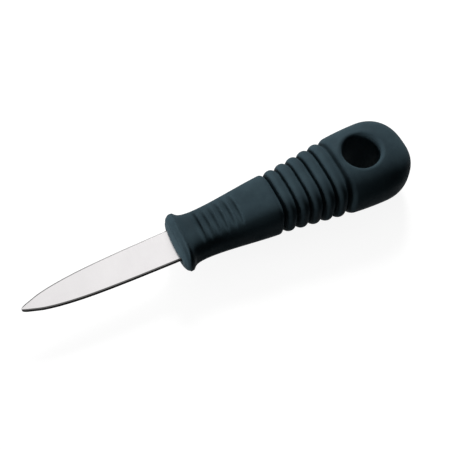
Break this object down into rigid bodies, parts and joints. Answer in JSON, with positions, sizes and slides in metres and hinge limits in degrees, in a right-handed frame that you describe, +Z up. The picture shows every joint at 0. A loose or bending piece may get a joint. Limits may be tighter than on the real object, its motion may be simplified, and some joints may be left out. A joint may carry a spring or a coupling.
{
  "type": "oyster knife",
  "caption": "Oyster knife with a short spear-shaped steel blade and a soft ringed handle with a thumb grip, flared guard and hanging eye.",
  "frame": {"origin": "under the middle of the knife's length and width, on the surface that it lies on, with the blade level", "axes": "+X from the blade's tip to the pommel, +Y across the blade, +Z up, along the eye's axis"},
  "size_m": [0.1732, 0.0344, 0.0276],
  "materials": {
    "steel": "satin, fine grinding lines across the blade",
    "core_plastic": "plain moulded, hidden inside the grip",
    "grip_rubber": "matte, very dark blue-green, finely textured"
  },
  "bodies": {
    "root": {"blade": "steel", "handle_core": "core_plastic", "handle_grip": "grip_rubber"}
  },
  "joints": []
}
